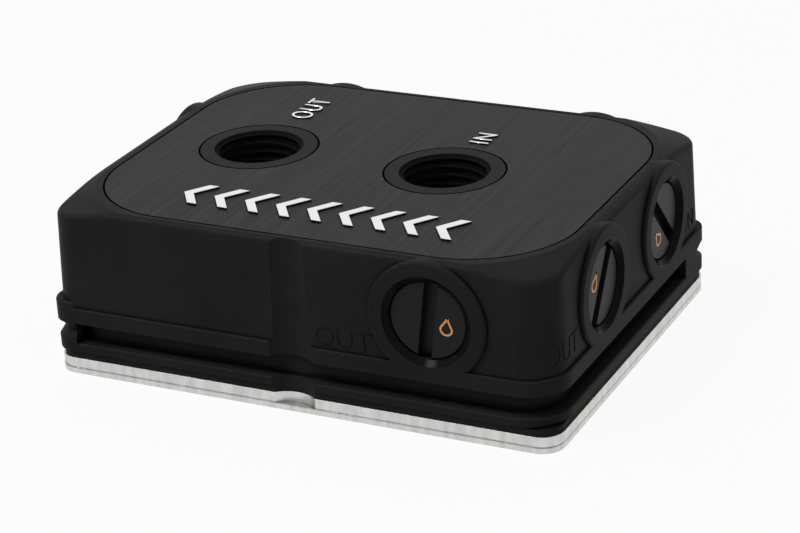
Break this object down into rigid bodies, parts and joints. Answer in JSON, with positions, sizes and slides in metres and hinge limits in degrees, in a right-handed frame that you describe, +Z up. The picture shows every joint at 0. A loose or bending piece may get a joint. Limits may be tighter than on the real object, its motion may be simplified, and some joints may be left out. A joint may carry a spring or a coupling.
{
  "type": "liquid cooling cold plate",
  "caption": "Server processor cold plate: plated metal base with skived fins under a moulded manifold housing with threaded top ports and plugged side ports.",
  "frame": {"origin": "middle of the flat cold face that rests on the heat source", "axes": "+X along the long side, inlet port on the +X half; +Y across, towards the long side with two plugged ports; +Z up through the lid and the threaded ports"},
  "size_m": [0.0782, 0.0592, 0.0255],
  "materials": {
    "moulded_plastic": "satin, fine mould grain",
    "nickel_plated_copper": "satin nickel plating",
    "anodised_lid": "brushed, black anodised",
    "bonding_film": "matt",
    "steel_sheet": "rolled",
    "seal_rubber": "matt",
    "screw_steel": "zinc plated",
    "plug_plastic": "satin"
  },
  "bodies": {
    "root": {"housing": "moulded_plastic", "cold_plate": "nickel_plated_copper", "lid_plate": "anodised_lid", "lid_bonding_sheet": "bonding_film", "jet_plate": "steel_sheet", "jet_gasket": "seal_rubber", "main_seal": "seal_rubber", "base_screws": "screw_steel", "front_plug": "plug_plastic", "front_plug_ring": "seal_rubber", "right_near_plug": "plug_plastic", "right_near_plug_ring": "seal_rubber", "right_far_plug": "plug_plastic", "right_far_plug_ring": "seal_rubber", "back_right_plug": "plug_plastic", "back_right_plug_ring": "seal_rubber", "back_left_plug": "plug_plastic", "back_left_plug_ring": "seal_rubber", "left_plug": "plug_plastic", "left_plug_ring": "seal_rubber"}
  },
  "joints": []
}
